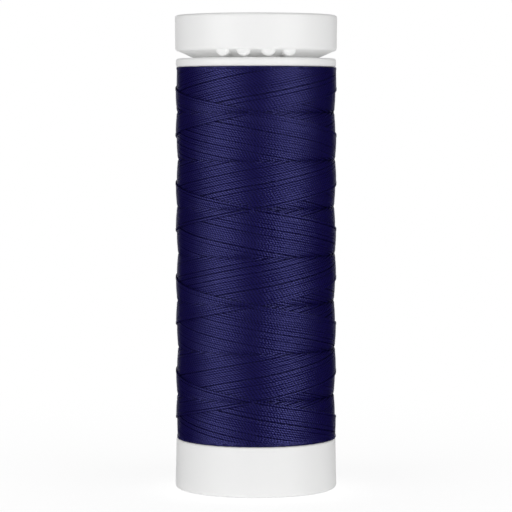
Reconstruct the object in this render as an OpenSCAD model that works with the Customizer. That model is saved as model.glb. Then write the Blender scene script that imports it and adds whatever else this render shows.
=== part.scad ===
// Sewing-thread spool with a lock cap: hollow foot, winding barrel, cross-wound thread, sliding cap.
// Millimetres, +Z up, standing on the foot. The origin is the middle of the face it stands on.
// The front of the spool, with the four nubs in the middle, looks along -Y.

/* [Spool] */
// Height over everything, cap closed
spool_h = 66; // [62:0.5:76]
// Diameter over the cap's band and the foot's lower edge
rim_d = 22.6; // [22.2:0.1:24]
// Outside diameter of the tube under the thread
barrel_d = 18; // [17.4:0.1:18.6]
// Wall of that tube
barrel_wall = 1.2; // [1:0.05:1.4]
// Wall of the cap's band and the foot's skirt
wall = 1.1; // [0.9:0.05:1.3]

/* [Foot] */
// Height of the foot
foot_h = 7; // [6.6:0.1:9]
// Amount by which the foot is narrower at the top than at the bottom, per side
foot_draft = 0.14; // [0.02:0.01:0.2]
// Thickness of the plate that carries the barrel and the thread
foot_plate = 1.2; // [1:0.05:1.5]
// Rounding of the lower outer edge
foot_edge = 0.45; // [0.2:0.05:0.6]
// Rounding of the upper outer edge
foot_brow = 0.3; // [0.15:0.05:0.4]
// Ribs under the plate
foot_ribs = 6; // [3:1:8]
// Height of the ring that centres the barrel
spigot_h = 3.5; // [2.5:0.1:5]

/* [Upper flange] */
// Thickness of the flange
flange_t = 1.2; // [1:0.05:1.6]
// Amount by which the flange is smaller than the cap, per side
flange_inset = 0.13; // [0.05:0.01:0.3]
// Rounding of its edges
flange_edge = 0.36; // [0.15:0.01:0.45]

/* [Lock cap] */
// Height of the cap's band
band_h = 5; // [4.6:0.1:6.5]
// Narrowing of the band towards its lower edge, per side
band_taper = 0.05; // [0:0.01:0.15]
// Height of the mouth of the V groove under the band
groove_h = 1; // [0.9:0.05:1.4]
// Diameter of the short neck at the bottom of the groove, which sits on the flange
seat_d = 17.3; // [16:0.1:17.8]
// Height of that neck
neck_h = 0.08; // [0.06:0.02:0.3]
// Rounding of the band's lower edge
lip_edge = 0.45; // [0.2:0.05:0.6]
// Rounding of the band's upper edge
crown_edge = 0.4; // [0.15:0.05:0.5]
// Thickness of the cap's floor
floor_t = 1.15; // [1:0.05:1.3]
// Ribs in the hollow of the cap
cap_ribs = 6; // [3:1:8]
// Depth of the hub's top under the band's top
hub_drop = 1.2; // [0.6:0.1:2]
// Travel of the cap from closed to open
cap_travel = 2; // [1.5:0.1:2.2]

/* [Nubs] */
// Groups of four nubs round the cap
nub_groups = 2; // [1:1:3]
// Width of a nub
nub_w = 2.06; // [1.7:0.02:2.2]
// Gap left under a nub for the thread end
nub_gap = 0.16; // [0.1:0.01:0.3]
// Angle between the two middle nubs of a group
nub_mid_angle = 18.4; // [16:0.2:22]
// Angle from a middle nub to the outer one next to it
nub_step_angle = 16.1; // [14:0.1:20]
// Distance of the nubs' ends from the band's face
nub_setback = 0.22; // [0.18:0.02:0.5]
// Rounding of the nubs' ends
nub_edge = 0.5; // [0.3:0.05:0.7]

/* [Stem] */
// Bore for the machine's spool pin
pin_bore_d = 8.5; // [7.6:0.1:8.8]
// Wall of the stem round the bore
stem_wall = 1.1; // [0.9:0.05:1.2]
// Radial running clearance of the stem in its two guides
stem_fit = 0.08; // [0.05:0.01:0.1]
// Height of the stem's end over the standing face
stem_end = 0.8; // [0.4:0.1:1]
// Wall of the two guides
guide_wall = 1; // [0.8:0.05:1.1]
// Length of the guide under the flange
guide_len = 5; // [3:0.5:8]
// Height of the snap bead on the stem
bead_h = 0.2; // [0.14:0.01:0.24]
// Play of the bead in its groove
bead_play = 0.1; // [0.06:0.01:0.15]

/* [Thread] */
// Width of the wound thread
thread_w = 0.32; // [0.26:0.02:0.36]
// Thickness of the wound thread, flattened by its tension
thread_t = 0.16; // [0.12:0.01:0.18]
// Turns in one run from flange to flange
run_turns = 4; // [3:1:4]
// Runs up, each followed by a run down
run_pairs = 3; // [2:1:3]
// Clear gap between the thread and itself where it crosses
cross_gap = 0.43; // [0.42:0.01:0.46]
// Share of a crossing that is let into the package, the rest stands out of it
cross_sink = 0.5; // [0.45:0.01:0.6]
// Depth of the package's crests under the flange's edge
wind_under = 0.5; // [0.45:0.01:0.7]
// Distance of the turning points from the flanges
turn_gap = 0.45; // [0.42:0.01:0.6]
// Clearance of the thread on the barrel and between the flanges
thread_fit = 0.05; // [0.04:0.01:0.1]

/* [Hidden] */
$fn = 96;
eps = 0.3;
edge_steps = 5;
plastic = [0.93, 0.93, 0.92];
navy = [0.13, 0.11, 0.33];
navy_deep = [0.09, 0.07, 0.24];

rim_r = rim_d / 2;
barrel_r = barrel_d / 2;
barrel_in_r = barrel_r - barrel_wall;
bore_r = pin_bore_d / 2;
stem_r = bore_r + stem_wall;
guide_r = stem_r + stem_fit;
guide_out_r = guide_r + guide_wall;
bore_lead = 0.35;

// Levels from the standing face up
flange_top = spool_h - band_h - groove_h;
flange_low = flange_top - flange_t;
band_low = flange_top + groove_h;
hub_top = spool_h - hub_drop;

// Snap bead on the stem, and the groove in the foot's guide that stops it at both ends of the travel
guide_end = stem_end + cap_travel + 0.2;
bead_low = guide_end + 0.5;
bead_len = 0.6;
bead_ramp = 0.15;
bead_r = stem_r + bead_h;
bead_groove_r = bead_r + stem_fit;
bead_groove_low = bead_low - bead_play;
bead_groove_top = bead_low + bead_len + cap_travel + bead_play;

function edge(r, z, size, from) =
    [for (i = [0:edge_steps]) let (a = from + 90 * i / edge_steps) [r + size * cos(a), z + size * sin(a)]];

// Foot: skirt, plate, guide for the stem, ring for the barrel
spigot_fit = 0.03;
spigot_r = barrel_in_r - spigot_fit;
spigot_wall = 0.9;
spigot_lead = 0.25;
foot_top_r = rim_r - foot_draft;
plate_low = foot_h - foot_plate;
rib_t = 0.9;
foot_rib_low = guide_end + 0.3;

module foot() {
    color(plastic)
    union() {
        rotate_extrude()
        polygon(concat(
            [[guide_r, guide_end], [guide_out_r, guide_end], [guide_out_r, plate_low]],
            [[foot_top_r - wall, plate_low], [rim_r - wall, 0]],
            edge(rim_r - foot_edge, foot_edge, foot_edge, -90),
            edge(foot_top_r - foot_brow, foot_h - foot_brow, foot_brow, 0),
            [[spigot_r, foot_h], [spigot_r, foot_h + spigot_h - spigot_lead]],
            [[spigot_r - spigot_lead, foot_h + spigot_h], [spigot_r - spigot_wall, foot_h + spigot_h]],
            [[spigot_r - spigot_wall, foot_h], [guide_r, foot_h]],
            [[guide_r, bead_groove_top], [bead_groove_r, bead_groove_top]],
            [[bead_groove_r, bead_groove_low], [guide_r, bead_groove_low]]
        ));
        for (i = [0:foot_ribs - 1])
            rotate(360 * (i + 0.5) / foot_ribs)
            translate([guide_out_r - eps, -rib_t / 2, foot_rib_low])
            cube([foot_top_r - wall - guide_out_r + 2 * eps, rib_t, plate_low - foot_rib_low + eps]);
    }
}

// Barrel: tube, upper flange, guide for the stem
flange_r = rim_r - flange_inset;
barrel_lead = 0.2;

module barrel() {
    color(plastic)
    rotate_extrude()
    polygon(concat(
        [[barrel_in_r + barrel_lead, foot_h], [barrel_r, foot_h], [barrel_r, flange_low]],
        edge(flange_r - flange_edge, flange_low + flange_edge, flange_edge, -90),
        edge(flange_r - flange_edge, flange_top - flange_edge, flange_edge, 0),
        [[guide_r + barrel_lead, flange_top], [guide_r, flange_top - barrel_lead]],
        [[guide_r, flange_low - guide_len], [guide_out_r, flange_low - guide_len]],
        [[guide_out_r, flange_low], [barrel_in_r, flange_low], [barrel_in_r, foot_h + barrel_lead]]
    ));
}

// Lock cap: band, conical floor, hub and stem in one moulding
lip_r = rim_r - band_taper;
cone_least = 0.6;
seat_r = min(seat_d / 2, lip_r - lip_edge - cone_least);
cap_in_r = rim_r - wall;
cone_slope = (groove_h - neck_h) / (lip_r - lip_edge - seat_r);
crown_in = 0.2;
nub_r = nub_w / 2;
nub_z = flange_top + nub_gap + nub_r;
nub_from = seat_r - eps;
nub_to = lip_r - nub_setback;
nub_len = nub_to - nub_from;
nub_angles = [
    -nub_mid_angle / 2 - nub_step_angle,
    -nub_mid_angle / 2,
    nub_mid_angle / 2,
    nub_mid_angle / 2 + nub_step_angle
];
cap_rib_h = 2.6;
cap_rib_low = floor_z(seat_r) - eps;

function floor_z(r) = flange_top + neck_h + floor_t + max(0, r - seat_r) * cone_slope;

module nub() {
    translate([0, -nub_from, nub_z])
    intersection() {
        rotate([90, 0, 0])
        rotate_extrude()
        polygon(concat(
            [[0, 0], [nub_r, 0]],
            edge(nub_r - nub_edge, nub_len - nub_edge, nub_edge, 0),
            [[0, nub_len]]
        ));
        translate([-nub_w, -nub_len - eps, -nub_w])
        cube([2 * nub_w, nub_len + 2 * eps, nub_w]);
    }
}

module lock_cap() {
    color(plastic)
    union() {
        rotate_extrude()
        polygon(concat(
            [[bore_r + bore_lead, stem_end], [stem_r - bead_ramp, stem_end], [stem_r, stem_end + bead_ramp]],
            [[stem_r, bead_low], [bead_r, bead_low + bead_ramp]],
            [[bead_r, bead_low + bead_len - bead_ramp], [stem_r, bead_low + bead_len]],
            [[stem_r, flange_top], [seat_r, flange_top], [seat_r, flange_top + neck_h]],
            edge(lip_r - lip_edge, band_low + lip_edge, lip_edge, -90),
            edge(rim_r - crown_edge, spool_h - crown_edge, crown_edge, 0),
            edge(cap_in_r + crown_in, spool_h - crown_in, crown_in, 90),
            [[cap_in_r, floor_z(cap_in_r)], [seat_r, floor_z(seat_r)], [stem_r, floor_z(stem_r)]],
            [[stem_r, hub_top - bead_ramp], [stem_r - bead_ramp, hub_top], [bore_r + bore_lead, hub_top]],
            [[bore_r, hub_top - bore_lead], [bore_r, stem_end + bore_lead]]
        ));
        for (i = [0:cap_ribs - 1])
            rotate(360 * (i + 0.5) / cap_ribs)
            translate([stem_r - eps, -rib_t / 2, cap_rib_low])
            cube([cap_in_r - stem_r + 2 * eps, rib_t, cap_rib_h]);
        for (g = [0:nub_groups - 1], a = nub_angles)
            rotate(360 * g / nub_groups + a)
            nub();
    }
}

// Cross-wound thread. One run is run_turns turns and one step more, so each pair of runs starts two steps
// further round and all crossings fall on whole steps, in bands half a lead apart.
step_angle = 15;
half_turn = 180 / step_angle;
run_steps = 2 * half_turn * run_turns + 1;
last_step = 2 * run_pairs * run_steps;
wind_low = foot_h + turn_gap;
wind_top = flange_low - turn_gap;
step_z = (wind_top - wind_low) / run_steps;
// The middle pair of runs crosses at the front of the spool
start_angle = -(half_turn + 1 + run_pairs - 1) * step_angle;
// A straight stretch between two steps dips under the circle by this much
chord_dip = flange_r * (1 - cos(step_angle / 2));
thread_lift = chord_dip + thread_fit;
cross_rise = thread_t + cross_gap;
crest_r = flange_r - wind_under;
valley_r = crest_r - cross_sink * cross_rise;
lie_r = crest_r + thread_lift + thread_t / 2;

// 1 where the thread crosses itself, 0 between the bands of crossings, by the step's number up the spool
band_steps = 2;
function off_band(k) = abs((k - 1 + half_turn / 2) % half_turn - half_turn / 2);
function crossing(k) = min(1, max(0, (2 * band_steps - off_band(k)) / band_steps));

function run_no(n) = floor(n / run_steps);
function climbs(n) = run_no(n) % 2 == 0;
function level(n) = let (m = n - run_no(n) * run_steps) climbs(n) ? m : run_steps - m;
function turns_here(n) = n % run_steps == 0;
function side(n) = turns_here(n) ? (1 - 2 * cross_sink) / 2 : climbs(n) ? -cross_sink : 1 - cross_sink;
function wound_r(n) = lie_r + side(n) * cross_rise * crossing(level(n));
function at(r, a, z) = [r * sin(a), -r * cos(a), z];
function angle_of(n) = start_angle + n * step_angle;
function station(n) = at(wound_r(n), angle_of(n), wind_low + level(n) * step_z);

// Both ends stand square on the foot's plate and lean over into the winding
end_r = lie_r - cross_sink * cross_rise;
lean_angle = 2;
end_up = foot_h + thread_w;
lean_up = end_up + thread_w / 2;
end_angle = angle_of(last_step + 1);
path = concat(
    [at(end_r, start_angle, foot_h), at(end_r, start_angle, end_up)],
    [at(end_r, start_angle + lean_angle, lean_up)],
    [for (n = [1:last_step]) station(n)],
    [at(end_r, end_angle - lean_angle, lean_up)],
    [at(end_r, end_angle, end_up), at(end_r, end_angle, foot_h)]
);
path_end = len(path) - 1;

function unit(v) = v / norm(v);
function outward(p) = unit([p[0], p[1], 0]);
function heading(i) =
    i < 2 ? [0, 0, 1] : i > path_end - 2 ? [0, 0, -1] : unit(path[i + 1] - path[i - 1]);
function flat_out(i) = let (t = heading(i), o = outward(path[i])) unit(o - (o * t) * t);
sides = 6;
function ring(i) =
    let (o = flat_out(i), b = cross(heading(i), o))
    [for (s = [0:sides - 1]) let (a = 360 * s / sides)
        path[i] + o * (cos(a) * thread_t / 2) + b * (sin(a) * thread_w / 2)];

tube_points = [for (i = [0:path_end]) each ring(i)];
tube_faces = concat(
    [for (s = [1:sides - 2]) [0, s + 1, s]],
    [for (i = [0:path_end - 1], s = [0:sides - 1])
        let (p = i * sides, q = p + sides, t = (s + 1) % sides)
        each [[p + s, p + t, q + s], [p + t, q + t, q + s]]],
    [for (s = [1:sides - 2]) let (p = path_end * sides) [p, p + s, p + s + 1]]
);

// Least clear gap of the thread to itself, on the steps and halfway between them
marks = [for (i = [0:path_end - 1]) each [path[i], (path[i] + path[i + 1]) / 2]];
near_marks = 6;
function reach(p, v) =
    let (o = abs(outward(p) * v) / norm(v)) norm([o * thread_t, sqrt(1 - min(1, o * o)) * thread_w]);
clear_gaps = [for (i = [0:len(marks) - 1], j = [i + near_marks:1:len(marks) - 1])
    let (v = marks[j] - marks[i])
    if (abs(v[2]) < thread_w * 4 && norm(v) < thread_w * 4)
    norm(v) - reach(marks[i], v)];
loops = last_step * step_angle / 360;
echo(str("Thread: least gap to itself ", min(clear_gaps), " mm, ", loops, " loops"));

module thread_winding() {
    color(navy)
    polyhedron(points = tube_points, faces = tube_faces);
}

// Inner layers of thread: plain, drawn in along the bands of crossings
function band_level(j) = wind_low + (1 + j * half_turn) * step_z;
band_in = band_steps * step_z;
package_r = barrel_r + thread_fit;

module thread_package() {
    color(navy_deep)
    rotate_extrude()
    polygon(concat(
        [[package_r, foot_h + thread_fit], [valley_r, foot_h + thread_fit]],
        [[valley_r, band_level(0) + band_in], [crest_r, band_level(0) + 2 * band_in]],
        [for (j = [1:2 * run_turns - 1]) let (z = band_level(j))
            each [[crest_r, z - 2 * band_in], [valley_r, z - band_in],
                [valley_r, z + band_in], [crest_r, z + 2 * band_in]]],
        [[crest_r, band_level(2 * run_turns) - 2 * band_in], [valley_r, band_level(2 * run_turns) - band_in]],
        [[valley_r, flange_low - thread_fit], [package_r, flange_low - thread_fit]]
    ));
}

foot();
barrel();
thread_package();
thread_winding();
lock_cap();
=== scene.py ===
# %% [markdown]
# # A spool of sewing thread
# The spool is three white mouldings (a hollow foot, a barrel with a flange, a sliding lock cap) and one
# long thread, wound to and fro in flat helices that cross each other. The mouldings come ready from the
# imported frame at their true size. This lesson gives them their finish, winds the thread, and sets the
# light.

# %% Load the frame
import math
import random

import bpy
import numpy as np
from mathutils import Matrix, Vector


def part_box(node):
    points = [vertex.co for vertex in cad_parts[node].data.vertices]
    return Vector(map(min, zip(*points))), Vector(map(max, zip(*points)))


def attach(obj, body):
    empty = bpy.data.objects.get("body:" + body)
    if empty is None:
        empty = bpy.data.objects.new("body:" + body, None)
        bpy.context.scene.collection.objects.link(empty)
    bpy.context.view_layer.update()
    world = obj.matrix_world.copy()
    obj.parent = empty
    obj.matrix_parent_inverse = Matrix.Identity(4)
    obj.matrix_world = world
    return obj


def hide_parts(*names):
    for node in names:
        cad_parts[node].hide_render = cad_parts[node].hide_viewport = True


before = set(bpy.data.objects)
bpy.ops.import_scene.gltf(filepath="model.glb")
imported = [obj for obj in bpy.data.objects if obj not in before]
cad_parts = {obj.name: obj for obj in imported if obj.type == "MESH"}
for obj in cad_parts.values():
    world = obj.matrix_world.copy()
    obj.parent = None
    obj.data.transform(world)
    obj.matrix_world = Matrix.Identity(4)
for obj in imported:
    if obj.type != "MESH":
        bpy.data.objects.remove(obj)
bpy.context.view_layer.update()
MM = 0.001
print("nodes:", sorted(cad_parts))

# %% [markdown]
# ## Camera
# The view is a product shot: a long lens, a little above the middle of the spool and tipped down, so that
# the foot's edge bows and the cap's top is seen edge on. A long lens from far off keeps the sides nearly
# upright. The camera is placed by its height and distance and turned to its aim with a track quaternion,
# which is easier to read than three angles.

# %% Camera
camera_place = Vector((0, -346.5, 52.85)) * MM
camera_aim = Vector((0, 0, 32.46)) * MM
sensor_mm = 36
lens_mm = 174.3


def aimed(place, aim):
    """The rotation that turns a camera or lamp at place to look at aim."""
    return (aim - place).to_track_quat("-Z", "Y").to_euler()


bpy.ops.object.camera_add(location=camera_place, rotation=aimed(camera_place, camera_aim))
camera = bpy.context.object
camera.data.sensor_width = sensor_mm
camera.data.lens = lens_mm
bpy.context.scene.camera = camera
look = camera_aim - camera_place
print("camera looks down by", round(math.degrees(math.asin(-look.z / look.length)), 2), "degrees")

# %% [markdown]
# ## Small helpers
# Colours are written as the hex values that a picture shows and turned to the linear numbers that shaders
# mix. One function adds a shader node, sets it and links it, so that a material reads as a list of steps.

# %% Helpers
def linear(hex_colour):
    """sRGB hex such as "#1F1A52" as linear red, green, blue and alpha."""
    parts = [int(hex_colour[i:i + 2], 16) / 255 for i in (1, 3, 5)]
    return [p / 12.92 if p <= 0.04045 else ((p + 0.055) / 1.055) ** 2.4 for p in parts] + [1]


def node(tree, kind, inputs=None, **settings):
    """Adds a node. Settings are its own values, inputs gives a socket a value or another node's output."""
    made = tree.nodes.new(kind)
    for name, value in settings.items():
        setattr(made, name, value)
    for name, value in (inputs or {}).items():
        if isinstance(value, bpy.types.NodeSocket):
            tree.links.new(value, made.inputs[name])
        else:
            made.inputs[name].default_value = value
    return made


def new_material(name):
    """An empty node material, with its tree."""
    made = bpy.data.materials.new(name)
    made.use_nodes = True
    made.node_tree.nodes.clear()
    return made, made.node_tree


def activate(obj):
    """Selects one object alone, so that the next operator acts on nothing else."""
    bpy.ops.object.select_all(action="DESELECT")
    obj.select_set(True)
    bpy.context.view_layer.objects.active = obj


# %% [markdown]
# ## Floor and surround
# The spool stands on white paper in a white surround. A lit sheet alone comes out grey, and more light
# would bleach the spool, so for the camera the paper glows a little and its lit part is weak: it stays
# white and still shows the soft shadow. Light that bounces meets white paper that glows as well, as paper
# under studio lamps does, and this reaches into the groove under the cap from below. The walls are light
# and the ceiling is dimmer, with one bright panel straight overhead for the cap's rim and inside.
#
# The thread mirrors what is round it, and in a room that is white all over its dye would look milky. So
# in reflections the floor is left out and the room is dark, apart from the backdrop straight behind the
# spool.

# %% Floor and surround
bpy.context.scene.view_settings.view_transform = "Standard"


def seen_directly(tree):
    """1 for rays that come from the camera, or from it by a mirror or glass, and 0 for bounced light."""
    path = node(tree, "ShaderNodeLightPath")
    either = node(tree, "ShaderNodeMath", {
        0: path.outputs["Is Camera Ray"], 1: path.outputs["Is Glossy Ray"],
    }, operation="MAXIMUM")
    return node(tree, "ShaderNodeMath", {
        0: either.outputs[0], 1: path.outputs["Is Transmission Ray"],
    }, operation="MAXIMUM").outputs[0]


paper, tree = new_material("white_studio_paper")
shadow_reach = 120 * MM
paper_glow = 0.72
bounce_glow = 0.24
place = node(tree, "ShaderNodeTexCoord").outputs["Object"]
distance = node(tree, "ShaderNodeVectorMath", {0: place}, operation="LENGTH").outputs["Value"]
faded = node(tree, "ShaderNodeMapRange", {"Value": distance, "From Max": shadow_reach},
             interpolation_type="SMOOTHSTEP").outputs[0]
plain = node(tree, "ShaderNodeBsdfDiffuse", {"Color": linear("#EEEEEE")})
bounce = node(tree, "ShaderNodeEmission", {"Color": linear("#FFFFFF"), "Strength": bounce_glow})
bounced = node(tree, "ShaderNodeAddShader", {0: plain.outputs[0], 1: bounce.outputs[0]})
lit = node(tree, "ShaderNodeBsdfDiffuse", {"Color": linear("#BFBFBF")})
glow = node(tree, "ShaderNodeEmission", {"Color": linear("#FFFFFF"), "Strength": paper_glow})
near = node(tree, "ShaderNodeAddShader", {0: lit.outputs[0], 1: glow.outputs[0]})
far = node(tree, "ShaderNodeEmission", {"Color": linear("#FFFFFF"), "Strength": 1.0})
shown = node(tree, "ShaderNodeMixShader", {0: faded, 1: near.outputs[0], 2: far.outputs[0]})
sheet = node(tree, "ShaderNodeMixShader", {
    0: seen_directly(tree), 1: bounced.outputs[0], 2: shown.outputs[0],
})
node(tree, "ShaderNodeOutputMaterial", {"Surface": sheet.outputs[0]})

bpy.ops.object.select_all(action="DESELECT")
floor_drop = 0.02 * MM
floor_size = 6
bpy.ops.mesh.primitive_plane_add(size=floor_size, location=(0, 0, -floor_drop))
floor = bpy.context.object
floor.name = "studio_floor"
bpy.ops.object.transform_apply(location=True)
floor.data.materials.append(paper)
floor.visible_glossy = False

world = bpy.data.worlds.new("white_surround")
world.use_nodes = True
tree = world.node_tree
tree.nodes.clear()
wall_light = 0.55
ceiling_light = 0.3
panel_light = 0.8
dark_room = 0.015
# Edges of walls, panel and backdrop, as parts of a direction of length 1: 0.35 is 20 degrees up
wall_top, ceiling_edge = 0.1, 0.35
panel_edge, panel_inside = 0.88, 0.94
backdrop_side, backdrop_inside = 0.9, 0.99
backdrop_top, backdrop_full = 0.35, 0.15
direction = node(tree, "ShaderNodeTexCoord").outputs["Generated"]
heading = node(tree, "ShaderNodeSeparateXYZ", {0: direction})
behind = node(tree, "ShaderNodeMapRange", {
    "Value": heading.outputs["Y"], "From Min": backdrop_side, "From Max": backdrop_inside,
}, interpolation_type="SMOOTHSTEP").outputs[0]
low = node(tree, "ShaderNodeMapRange", {
    "Value": heading.outputs["Z"], "From Min": backdrop_top, "From Max": backdrop_full,
}, interpolation_type="SMOOTHSTEP").outputs[0]
backdrop = node(tree, "ShaderNodeMath", {0: behind, 1: low}, operation="MULTIPLY").outputs[0]
mirrored = node(tree, "ShaderNodeMapRange", {
    "Value": backdrop, "To Min": dark_room, "To Max": 1.0,
}).outputs[0]
in_mirror = node(tree, "ShaderNodeLightPath").outputs["Is Glossy Ray"]
shown = node(tree, "ShaderNodeMix", {"Factor": in_mirror, "A": 1.0, "B": mirrored}).outputs[0]
cove = node(tree, "ShaderNodeMapRange", {
    "Value": heading.outputs["Z"], "From Min": wall_top, "From Max": ceiling_edge,
    "To Min": wall_light, "To Max": ceiling_light,
}, interpolation_type="SMOOTHSTEP").outputs[0]
panel = node(tree, "ShaderNodeMapRange", {
    "Value": heading.outputs["Z"], "From Min": panel_edge, "From Max": panel_inside,
    "To Max": panel_light,
}, interpolation_type="SMOOTHSTEP").outputs[0]
room = node(tree, "ShaderNodeMath", {0: cove, 1: panel}, operation="ADD").outputs[0]
strength = node(tree, "ShaderNodeMix", {"Factor": seen_directly(tree), "A": room, "B": shown})
white = node(tree, "ShaderNodeBackground", {"Color": linear("#FFFFFF"), "Strength": strength.outputs[0]})
node(tree, "ShaderNodeOutputWorld", {"Surface": white.outputs[0]})
bpy.context.scene.world = world
print("floor and surround are white, the walls light at", wall_light)

# %% [markdown]
# ## Lamps
# On the thread two upright bands of light run down the spool, nearly halfway from the middle to each
# side, and the middle stays dark. A thread wound round a post mirrors a lamp at half the lamp's angle, so
# the lamps are two wide soft boxes, about 50 degrees to the left and right of the camera. A weak lamp
# under the camera fills the front, so that the white mouldings are brightest in the middle. It is left
# out of reflections, because on the thread it would show as a third band.

# %% Lamps
def soft_box(name, angle, distance, height, size, power):
    """A rectangular lamp that looks at the middle of the spool, angle degrees round from the camera."""
    turn = math.radians(angle)
    place = Vector((math.sin(turn) * distance, -math.cos(turn) * distance, height))
    bpy.ops.object.light_add(type="AREA", location=place, rotation=aimed(place, camera_aim))
    lamp = bpy.context.object
    lamp.name = name
    lamp.data.shape = "RECTANGLE"
    lamp.data.size, lamp.data.size_y = size
    lamp.data.energy = power
    return lamp


# Degrees, metres and watts
side_box = {"distance": 0.6, "height": 0.08, "size": (0.44, 0.15)}
soft_box("left_soft_box", angle=-50.5, power=1.0, **side_box)
soft_box("right_soft_box", angle=49, power=0.97, **side_box)
fill = soft_box("front_fill", angle=0, distance=0.7, height=0.03, size=(0.3, 0.04), power=0.3)
fill.visible_glossy = False

# %% [markdown]
# ## White mouldings
# Foot, barrel and cap are injection-moulded polypropylene, filled white. The mould is fine-sparked, so
# the skin is smooth but not polished: a broad soft gloss. Light goes a little way in, which softens the
# edges of the small nubs. The shapes are right in the frame, so only the finish is added. Polypropylene
# has an IOR of 1.49 and a roughness of about 0.4 here. The spark texture is some 0.05 mm in truth, and is
# drawn at 0.25 mm, as fine as it can be and still show.

# %% White mouldings
plastic, tree = new_material("moulded_white_polypropylene")
place = node(tree, "ShaderNodeTexCoord").outputs["Object"]
spark_size = 0.25 * MM
spark_depth = 0.03 * MM
flow_size = 9 * MM
light_depth = 1.0 * MM
smoothest, roughest = 0.36, 0.46
spark = node(tree, "ShaderNodeTexNoise", {"Vector": place, "Scale": 1 / spark_size, "Detail": 3.0})
flow = node(tree, "ShaderNodeTexNoise", {"Vector": place, "Scale": 1 / flow_size, "Detail": 2.0})
tint = node(tree, "ShaderNodeMix", {
    "Factor": flow.outputs["Fac"], "A": linear("#F8F8F8"), "B": linear("#FBFBFA"),
}, data_type="RGBA").outputs[2]
gloss = node(tree, "ShaderNodeMapRange", {
    "Value": flow.outputs["Fac"], "To Min": smoothest, "To Max": roughest,
})
grain = node(tree, "ShaderNodeBump", {
    "Height": spark.outputs["Fac"], "Strength": 0.12, "Distance": spark_depth,
})
skin = node(tree, "ShaderNodeBsdfPrincipled", {
    "Base Color": tint, "Roughness": gloss.outputs[0], "Normal": grain.outputs[0], "IOR": 1.49,
    "Subsurface Weight": 0.12, "Subsurface Radius": (1.0, 1.0, 1.0), "Subsurface Scale": light_depth,
})
node(tree, "ShaderNodeOutputMaterial", {"Surface": skin.outputs[0]})

for name in ("foot", "barrel", "lock_cap"):
    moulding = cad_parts[name]
    moulding.data.materials.clear()
    moulding.data.materials.append(plastic)
print("white polypropylene on foot, barrel and lock_cap")

# %% [markdown]
# ## How the thread lies
# A winder turns the spool steadily while a guide runs to and fro, so the thread climbs in a flat helix,
# four turns from foot to flange, and comes back the same way. Each round trip ends a little further round
# than it began, and so the next trip lies beside the last one: 42 trips cover the spool once.
#
# All of it can be counted in steps. A run is four turns and one step more, with two steps to each trip,
# so every crossing falls on a whole step, and at a crossing the younger run lies on top. Where the two
# runs of one trip meet, the order changes, and these places line up as the level zigzag seams of a
# cross-wound spool.

# %% How the thread lies
TRIPS = 42
TURN_STEPS = 2 * TRIPS
RUN_TURNS = 4
RUN_STEPS = RUN_TURNS * TURN_STEPS + 1
ALL_STEPS = 2 * TRIPS * RUN_STEPS

thread_width = 0.36 * MM
thread_thick = 0.19 * MM
package_low, package_high = (corner.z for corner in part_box("thread_package"))
flange_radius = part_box("barrel")[1].x
# The straight runs would pass the flanges by this much, if the turns didn't round them off
over_low = 0.61 * MM
over_high = 0.39 * MM
end_gap = 0.12 * MM
run_low = package_low - over_low
run_high = package_high + over_high
level_rise = (run_high - run_low) / RUN_STEPS
round_low = 2 * (over_low + end_gap) / level_rise
round_high = 2 * (over_high + end_gap) / level_rise
# The newest runs cross at the front, which looks along -Y
front_step = 2 * (TRIPS - 1) + 1 + TRIPS
turn_rise = level_rise * TURN_STEPS
print("thread rises", round(turn_rise / MM, 2), "mm a turn,", ALL_STEPS // TURN_STEPS, "turns")


def run_of(step):
    """Trip number, whether it climbs, and the level, 0 at the foot and RUN_STEPS at the flange."""
    run, along = divmod(min(step, ALL_STEPS - 1), RUN_STEPS)
    climbs = run % 2 == 0
    return run // 2, climbs, along if climbs else RUN_STEPS - along


def met_trip(trip, climbs, level):
    """The trip whose other run crosses this one at this level."""
    return (trip + level - 1) % TRIPS if climbs else (trip - level + 1) % TRIPS


def lies_under(step):
    """1 where the thread lies under the run that it meets, 0 where it lies on top."""
    trip, climbs, level = run_of(step)
    other = met_trip(trip, climbs, level)
    return int(other >= trip if climbs else other > trip)


def height_of(level):
    """Height over the floor, with the turns at both ends rounded off as parabolas."""
    if level < round_low:
        return run_low + level_rise * (level * level / round_low + round_low) / 2
    down = RUN_STEPS - level
    if down < round_high:
        return run_high - level_rise * (down * down / round_high + round_high) / 2
    return run_low + level_rise * level


# %% [markdown]
# ## How far out it lies
# The package swells a little between the seams and is drawn in along them. Younger thread lies further
# out, and thread under a crossing lies one thickness deeper. On a seam it dives under the run that it lay
# on, and it is slack there and narrower.
#
# Trips are never quite evenly spaced: a few wide gaps between them show as dark lines, and each trip
# wanders a little on its way. A fixed seed keeps all this the same each time.

# %% How far out it lies
crest_over_flange = 0.1 * MM
crest_radius = flange_radius + crest_over_flange
seam_depth = 0.13 * MM
seam_pinch = 0.1 * MM
pinch_steps = 3
dive_narrow = 0.5
dive_steps = 1.3
age_depth = 0.13 * MM
newest_rise = 0.05 * MM
end_swell = 0.02 * MM
tuck_depth = 0.3 * MM
tuck_steps = 12
# Wide gaps between trips: how old the trips beside it are, and how many steps wider than usual it is
wide_gaps = (
    (0.012, 0.3), (0.19, 0.6), (0.245, 0.4), (0.41, 0.65), (0.53, 0.2),
    (0.62, 0.5), (0.67, 0.35), (0.81, 0.5), (0.93, 0.3),
)
all_gaps = sum(width for _, width in wide_gaps)
SEED = 11
waver = random.Random(SEED)
spacing_error = 0.15
wavering = [waver.uniform(-spacing_error, spacing_error) for _ in range(TRIPS)]
wander_size = 0.22
wander_turns = 1.7
wander_start = [waver.uniform(0, 2 * math.pi) for _ in range(TRIPS)]


def age(trip):
    """0 for the newest trip, nearly 1 for the oldest."""
    return (TRIPS - 1 - trip) / TRIPS


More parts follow.
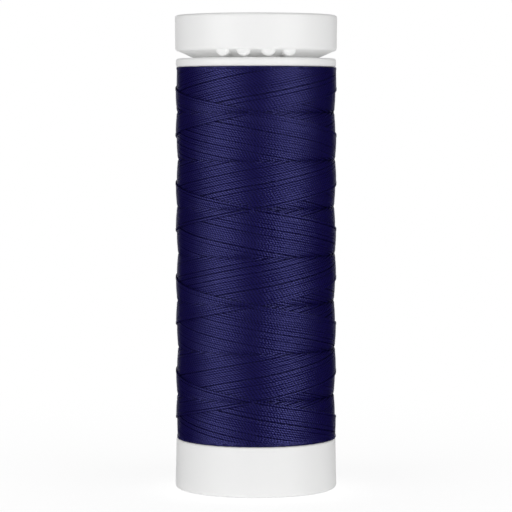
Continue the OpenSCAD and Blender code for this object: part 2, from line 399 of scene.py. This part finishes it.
def shift_of(trip, level):
    """Steps by which a trip lies ahead of even spacing. It wanders a little on its way up and down."""
    passed = sum(width for gap_age, width in wide_gaps if age(trip) < gap_age)
    on_its_way = 2 * math.pi * level / (wander_turns * TURN_STEPS)
    wander = wander_size * math.sin(wander_start[trip] + on_its_way)
    return passed - all_gaps * (1 - age(trip)) + wavering[trip] + wander


def near_end(level):
    """1 at the foot and at the flange, 0 from half a band of crossings on."""
    inside = min(level, RUN_STEPS - level) / (TRIPS / 2)
    return max(0, 1 - inside) ** 2


def seam(level):
    """1 on a seam, 0 midway between two, and 0 at both ends, where the turns fill the package."""
    return (0.5 + 0.5 * math.cos(2 * math.pi * (level - 1) / TRIPS)) ** 2 * (1 - near_end(level))


def on_seam(level, reach):
    """1 right on a seam, 0 from reach steps off it, and 0 at both ends."""
    off_seam = (level - 1 + TRIPS / 2) % TRIPS - TRIPS / 2
    return max(0, 1 - abs(off_seam) / reach) * (1 - near_end(level))


def drawn_in(level):
    """How much nearer to the axis the package lies at this level than midway between two seams."""
    return seam_depth * seam(level) + seam_pinch * on_seam(level, pinch_steps)


def breadth(level):
    """The thread's share of its full width: it is narrower where it dives."""
    return 1 - dive_narrow * on_seam(level, dive_steps)


def tucked(step):
    """1 at the thread's two ends, 0 from a few steps on: the ends are drawn in under other runs."""
    return max(0, 1 - min(step, ALL_STEPS - step) / tuck_steps)


def radius_of(step):
    """Distance of the thread's middle from the spool's axis."""
    trip, climbs, level = run_of(step)
    ages = age(trip) + age(met_trip(trip, climbs, level))
    depth = drawn_in(level)
    depth += age_depth * ages + lies_under(step) * thread_thick
    depth += tuck_depth * tucked(step) - end_swell * near_end(level)
    if trip == TRIPS - 1:
        depth -= newest_rise
    return crest_radius - thread_thick / 2 - depth


def turn_of(step):
    """Angle round the spool from the front, over all turns."""
    trip, _, level = run_of(step)
    return 2 * math.pi * (step - front_step + shift_of(trip, level)) / TURN_STEPS


def thread_point(step):
    """One point of the thread's path."""
    _, _, level = run_of(step)
    turn = turn_of(step)
    radius = radius_of(step)
    return radius * math.sin(turn), -radius * math.cos(turn), height_of(level)


# %% [markdown]
# ## Winding it
# A curve with a bevel profile is the natural way to make so long a tube. A loop gives the path's points,
# and the profile is a loaf with six corners, because the tension presses the thread flat. Its undercut
# sides leave a furrow between two runs. Z-up twist keeps the flat base against the spool, and the points'
# radius narrows the thread at the seams. It is made as two pieces, the first runs and the last, because
# one mesh would be too heavy.

# %% Winding it
crown, base = thread_thick / 2, -thread_thick / 2
shoulder = 0.7 * crown
# How far from the middle the section's corners lie, as shares of its width
crown_share, shoulder_share, base_share = 0.33, 0.46, 0.34
half_section = [
    (crown, crown_share * thread_width),
    (shoulder, shoulder_share * thread_width),
    (base, base_share * thread_width),
]
section_corners = [(x, -y) for x, y in half_section] + list(reversed(half_section))
CORNERS = len(section_corners)


def flat_profile():
    """The thread's cross-section: a broad crown outside, undercut sides and a flat base."""
    outline = bpy.data.curves.new("thread_section", "CURVE")
    outline.dimensions = "2D"
    spline = outline.splines.new("POLY")
    spline.points.add(CORNERS - 1)
    spline.use_cyclic_u = True
    for point, (x, y) in zip(spline.points, section_corners):
        point.co = (x, y, 0, 1)
    made = bpy.data.objects.new("thread_section", outline)
    bpy.context.scene.collection.objects.link(made)
    return made


def wound_thread(name, first, last, section):
    """The thread from one step to another as a mesh tube."""
    path = bpy.data.curves.new(name, "CURVE")
    path.dimensions = "3D"
    path.twist_mode = "Z_UP"
    path.bevel_mode = "OBJECT"
    path.bevel_object = section
    path.use_fill_caps = True
    spline = path.splines.new("POLY")
    spline.points.add(last - first)
    steps = range(first, last + 1)
    spline.points.foreach_set("co", [value for step in steps for value in (*thread_point(step), 1)])
    spline.points.foreach_set("radius", [breadth(run_of(step)[2]) for step in steps])
    made = bpy.data.objects.new(name, path)
    bpy.context.scene.collection.objects.link(made)
    activate(made)
    bpy.ops.object.convert(target="MESH")
    return bpy.context.object


section = flat_profile()
middle_step = ALL_STEPS // 2
windings = [
    wound_thread("thread_first_runs", 0, middle_step, section),
    wound_thread("thread_last_runs", middle_step, ALL_STEPS, section),
]
bpy.data.objects.remove(section)
print("thread:", [(o.name, len(o.data.polygons)) for o in windings])

# %% [markdown]
# ## Maps along the thread
# The twist of the thread is far too fine to model on 24 metres of it, so it is drawn in the material, and
# for that each point has to know how far along the thread it lies and how far across. It also has to know
# whether the thread lies under another run there, because the material paints shade on such thread. The
# tube's points come in rings, one for each step, so all three follow from a point's number. They are kept
# in one attribute, the first two in metres and the third as 0 or 1.
#
# A stroke of the twist is 0.44 mm long, and a whole number of strokes goes round the spool. So the
# strokes of one trip fall nearly in line with those of the trip beside it, which makes the slanting hatch
# of a wound spool. Nearly, not quite: each trip slips a little, and so the hatch wanders.
#
# The second map is flat, for baking: the tube is cut into rows of equal length, laid one over the other.
# An automatic unwrap would make thousands of scraps of such a mesh.

# %% Maps along the thread
TURN_STROKES = 160
stroke_length = 2 * math.pi * crest_radius / TURN_STROKES
stroke_slant = 0.8
slip_share = 0.3
slip_draws = [[waver.uniform(-slip_share, slip_share) for _ in range(2)] for _ in range(TRIPS)]
slips = np.array(slip_draws) * stroke_length
trip_drift = stroke_slant * 2 * level_rise
slip_of = (slips + (trip_drift, -trip_drift)).cumsum(axis=0)
ROW_STEPS = 142
row_fill = 0.8
weld_distance = 0.001 * MM
# Share of a row's width up to each corner of the section, most of it for the crown, which shows
corner_share = np.array([0, 0.22, 0.32, 0.38, 0.48, 0.7, 1])


def along_thread(step):
    """Distance along the thread as its twist counts it."""
    trip, climbs, _ = run_of(step)
    return turn_of(step) * crest_radius + slip_of[trip, int(climbs)]


def map_thread(tube, first, last):
    """Notes each point's place on the thread, adds a map of rows, and closes the tube's ends."""
    mesh = tube.data
    points = np.empty(3 * len(mesh.vertices), "f")
    mesh.vertices.foreach_get("co", points)
    # The two end faces have points of their own, which come before the rings
    rings = points.reshape(-1, CORNERS, 3)
    ring_steps = (first, last, *range(first, last + 1))
    lay = np.zeros_like(rings)
    lay[:, :, 0] = np.array([along_thread(step) for step in ring_steps])[:, None]
    lay[:, :, 1] = rings[:, :, 2] - rings[:, :, 2].mean(axis=1)[:, None]
    # The third value marks thread under other runs, which the material darkens as painted shade
    lay[:, :, 2] = np.array([lies_under(step) for step in ring_steps])[:, None]
    mesh.attributes.new("thread_lay", "FLOAT_VECTOR", "POINT").data.foreach_set("vector", lay.ravel())

    numbers = np.empty(len(mesh.loops), "i")
    mesh.loops.foreach_get("vertex_index", numbers)
    side_loops = 4 * CORNERS * (last - first)
    ring, corner = np.divmod(numbers[-side_loops:].reshape(-1, 4) - 2 * CORNERS, CORNERS)
    step = ring.min(axis=1)[:, None]
    corner = np.where((corner == 0) & (corner.max(axis=1) == CORNERS - 1)[:, None], CORNERS, corner)
    rows = -(-(last - first) // ROW_STEPS)
    spots = np.zeros((len(numbers), 2), "f")
    spots[-side_loops:, 0] = ((step % ROW_STEPS + ring - step) / ROW_STEPS).ravel()
    spots[-side_loops:, 1] = ((step // ROW_STEPS + row_fill * corner_share[corner]) / rows).ravel()
    while mesh.uv_layers:
        mesh.uv_layers.remove(mesh.uv_layers[0])
    mesh.uv_layers.new(name="OFBake").data.foreach_set("uv", spots.ravel())

    activate(tube)
    bpy.ops.object.mode_set(mode="EDIT")
    bpy.ops.mesh.select_all(action="SELECT")
    bpy.ops.mesh.remove_doubles(threshold=weld_distance)
    bpy.ops.object.mode_set(mode="OBJECT")
    middles = rings[2:].mean(axis=1)
    return float(np.linalg.norm(np.diff(middles, axis=0), axis=1).sum())


thread_length = map_thread(windings[0], 0, middle_step) + map_thread(windings[1], middle_step, ALL_STEPS)
print("thread that shows:", round(thread_length, 2), "m")

# %% [markdown]
# ## Layers underneath
# Under the runs that show lie hundreds more, and they are only glimpsed through the gaps. They are
# modelled as one sleeve on the barrel's tube: a cylinder, cut level by level, whose rings are then drawn
# in along the same seams as the runs over them, and thickened inwards. All of it lies under other thread,
# and its attribute says so, so the material gives all of it the painted shade of thread under other runs.

# %% Layers underneath
under_depth = 0.62 * MM
tube_radius = 9 * MM
sleeve_clear = 0.05 * MM
SLEEVE_RINGS = 64
SLEEVE_SIDES = 96
smooth_angle = math.radians(40)
bpy.ops.object.select_all(action="DESELECT")
bpy.ops.mesh.primitive_cylinder_add(
    vertices=SLEEVE_SIDES, radius=crest_radius - under_depth, depth=package_high - package_low,
    end_fill_type="NOTHING", location=(0, 0, (package_low + package_high) / 2))
sleeve = bpy.context.object
sleeve.name = "thread_inner_layers"
bpy.ops.object.transform_apply(location=True)
bpy.ops.object.mode_set(mode="EDIT")
for ring in range(1, SLEEVE_RINGS):
    bpy.ops.mesh.select_all(action="SELECT")
    level = package_low + (package_high - package_low) * ring / SLEEVE_RINGS
    bpy.ops.mesh.bisect(plane_co=(0, 0, level), plane_no=(0, 0, 1))
bpy.ops.object.mode_set(mode="OBJECT")
for point in sleeve.data.vertices:
    inwards = drawn_in((point.co.z - run_low) / level_rise)
    point.co.xy *= 1 - inwards / point.co.xy.length
wall = sleeve.modifiers.new("wall", "SOLIDIFY")
wall.thickness = crest_radius - under_depth - seam_depth - seam_pinch - tube_radius - sleeve_clear
wall.offset = -1
bpy.ops.object.modifier_apply(modifier="wall")
bpy.ops.object.shade_smooth_by_angle(angle=smooth_angle)
# Every point is marked as under other thread, so the material paints shade on the whole sleeve
hidden = np.tile(np.array([0, 0, 1], "f"), len(sleeve.data.vertices))
sleeve.data.attributes.new("thread_lay", "FLOAT_VECTOR", "POINT").data.foreach_set("vector", hidden)
print("sleeve:", len(sleeve.data.polygons), "faces")

# %% [markdown]
# ## Polyester sewing thread
# The thread is filament polyester, two plies twisted together and dyed navy. Each ply shows as a row of
# short slanted strokes, two in each lay of the twist, with a groove between them, whose shade is painted
# in as a darker colour and a weaker shine. The filaments are drawn, so they are smooth and dense: along
# them the IOR is 1.72, and their shine takes the colour of the dye, because light comes out again only
# after it has passed between other filaments.
#
# The strokes run along the thread, so the pattern reads the place along and across it. A sum of the two,
# counted in strokes, gives slanted bands, and a ping-pong of that sum goes from groove to crest and back.
# Painted shade darkens the colour and the shine in the furrow at the thread's two sides, and on thread
# that lies under other thread, where shade falls between the runs.

# %% Polyester sewing thread
ply_depth = 0.026 * MM
furrow_start = 0.08 * MM
furrow_end = 0.16 * MM
# Shares of colour and shine that the painted shade leaves in the furrow and under other thread
furrow_painted_shade_level = 0.68
under_painted_shade_level = 0.45
batch_size = 14 * MM
# In strokes from the groove: the middle of a ply's crest, and where the crest begins
half_stroke = 0.5
crest_start = 0.4

thread_cloth, tree = new_material("twisted_polyester_sewing_thread")
lay = node(tree, "ShaderNodeAttribute", attribute_name="thread_lay").outputs["Vector"]
strokes = node(tree, "ShaderNodeVectorMath", {
    0: lay, 1: (1 / stroke_length, stroke_slant / stroke_length, 0),
}, operation="DOT_PRODUCT").outputs["Value"]
spot = node(tree, "ShaderNodeSeparateXYZ", {0: lay})
from_middle = node(tree, "ShaderNodeMath", {0: spot.outputs["Y"]}, operation="ABSOLUTE").outputs[0]
# Painted shade: colour and shine darken towards the thread's two sides, in the furrow between runs
furrow_painted_shade = node(tree, "ShaderNodeMapRange", {
    "Value": from_middle, "From Min": furrow_end, "From Max": furrow_start, "To Min": furrow_painted_shade_level,
}, interpolation_type="SMOOTHSTEP").outputs[0]
# Painted shade: thread under other runs, and the whole sleeve, gets darker colour and weaker shine
under_painted_shade = node(tree, "ShaderNodeMapRange", {
    "Value": spot.outputs["Z"], "To Min": 1.0, "To Max": under_painted_shade_level,
}).outputs[0]
# How much colour and shine the painted shade of the furrow and of the under runs leaves
painted_shade_keep = node(tree, "ShaderNodeMath", {0: furrow_painted_shade, 1: under_painted_shade}, operation="MULTIPLY").outputs[0]
swing = node(tree, "ShaderNodeMath", {0: strokes, 1: half_stroke}, operation="PINGPONG").outputs[0]
# The ply mask drives the bump and also paints shade into the groove between plies
ply = node(tree, "ShaderNodeMapRange", {
    "Value": swing, "From Max": crest_start,
}, interpolation_type="SMOOTHSTEP").outputs[0]
batch = node(tree, "ShaderNodeTexNoise", {
    "Vector": lay, "Scale": 1 / batch_size, "Detail": 2.0,
}).outputs["Fac"]
crest = node(tree, "ShaderNodeMix", {
    "Factor": batch, "A": linear("#0D0250"), "B": linear("#120458"),
}, data_type="RGBA").outputs[2]
# Painted shade: the groove between plies takes the dark colour #020012
twist_with_painted_shade = node(tree, "ShaderNodeMix", {
    "Factor": ply, "A": linear("#020012"), "B": crest,
}, data_type="RGBA").outputs[2]
# Painted shade: #02000C is the colour where the furrow and the under runs are shaded
dye_with_painted_shade = node(tree, "ShaderNodeMix", {
    "Factor": painted_shade_keep, "A": linear("#02000C"), "B": twist_with_painted_shade,
}, data_type="RGBA").outputs[2]
# Painted shade: the shine is weaker (#7B7DCA) in the groove between plies
twist_shine_with_painted_shade = node(tree, "ShaderNodeMix", {
    "Factor": ply, "A": linear("#7B7DCA"), "B": linear("#9EA0FE"),
}, data_type="RGBA").outputs[2]
# Painted shade: #6668A6 is the weaker shine in the furrow and under other runs
shine_with_painted_shade = node(tree, "ShaderNodeMix", {
    "Factor": painted_shade_keep, "A": linear("#6668A6"), "B": twist_shine_with_painted_shade,
}, data_type="RGBA").outputs[2]
relief = node(tree, "ShaderNodeBump", {"Height": ply, "Strength": 1.0, "Distance": ply_depth})
fibre = node(tree, "ShaderNodeBsdfPrincipled", {
    "Base Color": dye_with_painted_shade, "Roughness": 0.34, "Normal": relief.outputs[0], "IOR": 1.72,
    "Specular IOR Level": 1.0, "Specular Tint": shine_with_painted_shade,
})
node(tree, "ShaderNodeOutputMaterial", {"Surface": fibre.outputs[0]})

for piece in [*windings, sleeve]:
    piece.data.materials.clear()
    piece.data.materials.append(thread_cloth)
    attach(piece, "spool")
    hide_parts("thread_package" if piece == sleeve else "thread_winding")
print("thread dressed:", [piece.name for piece in (*windings, sleeve)])
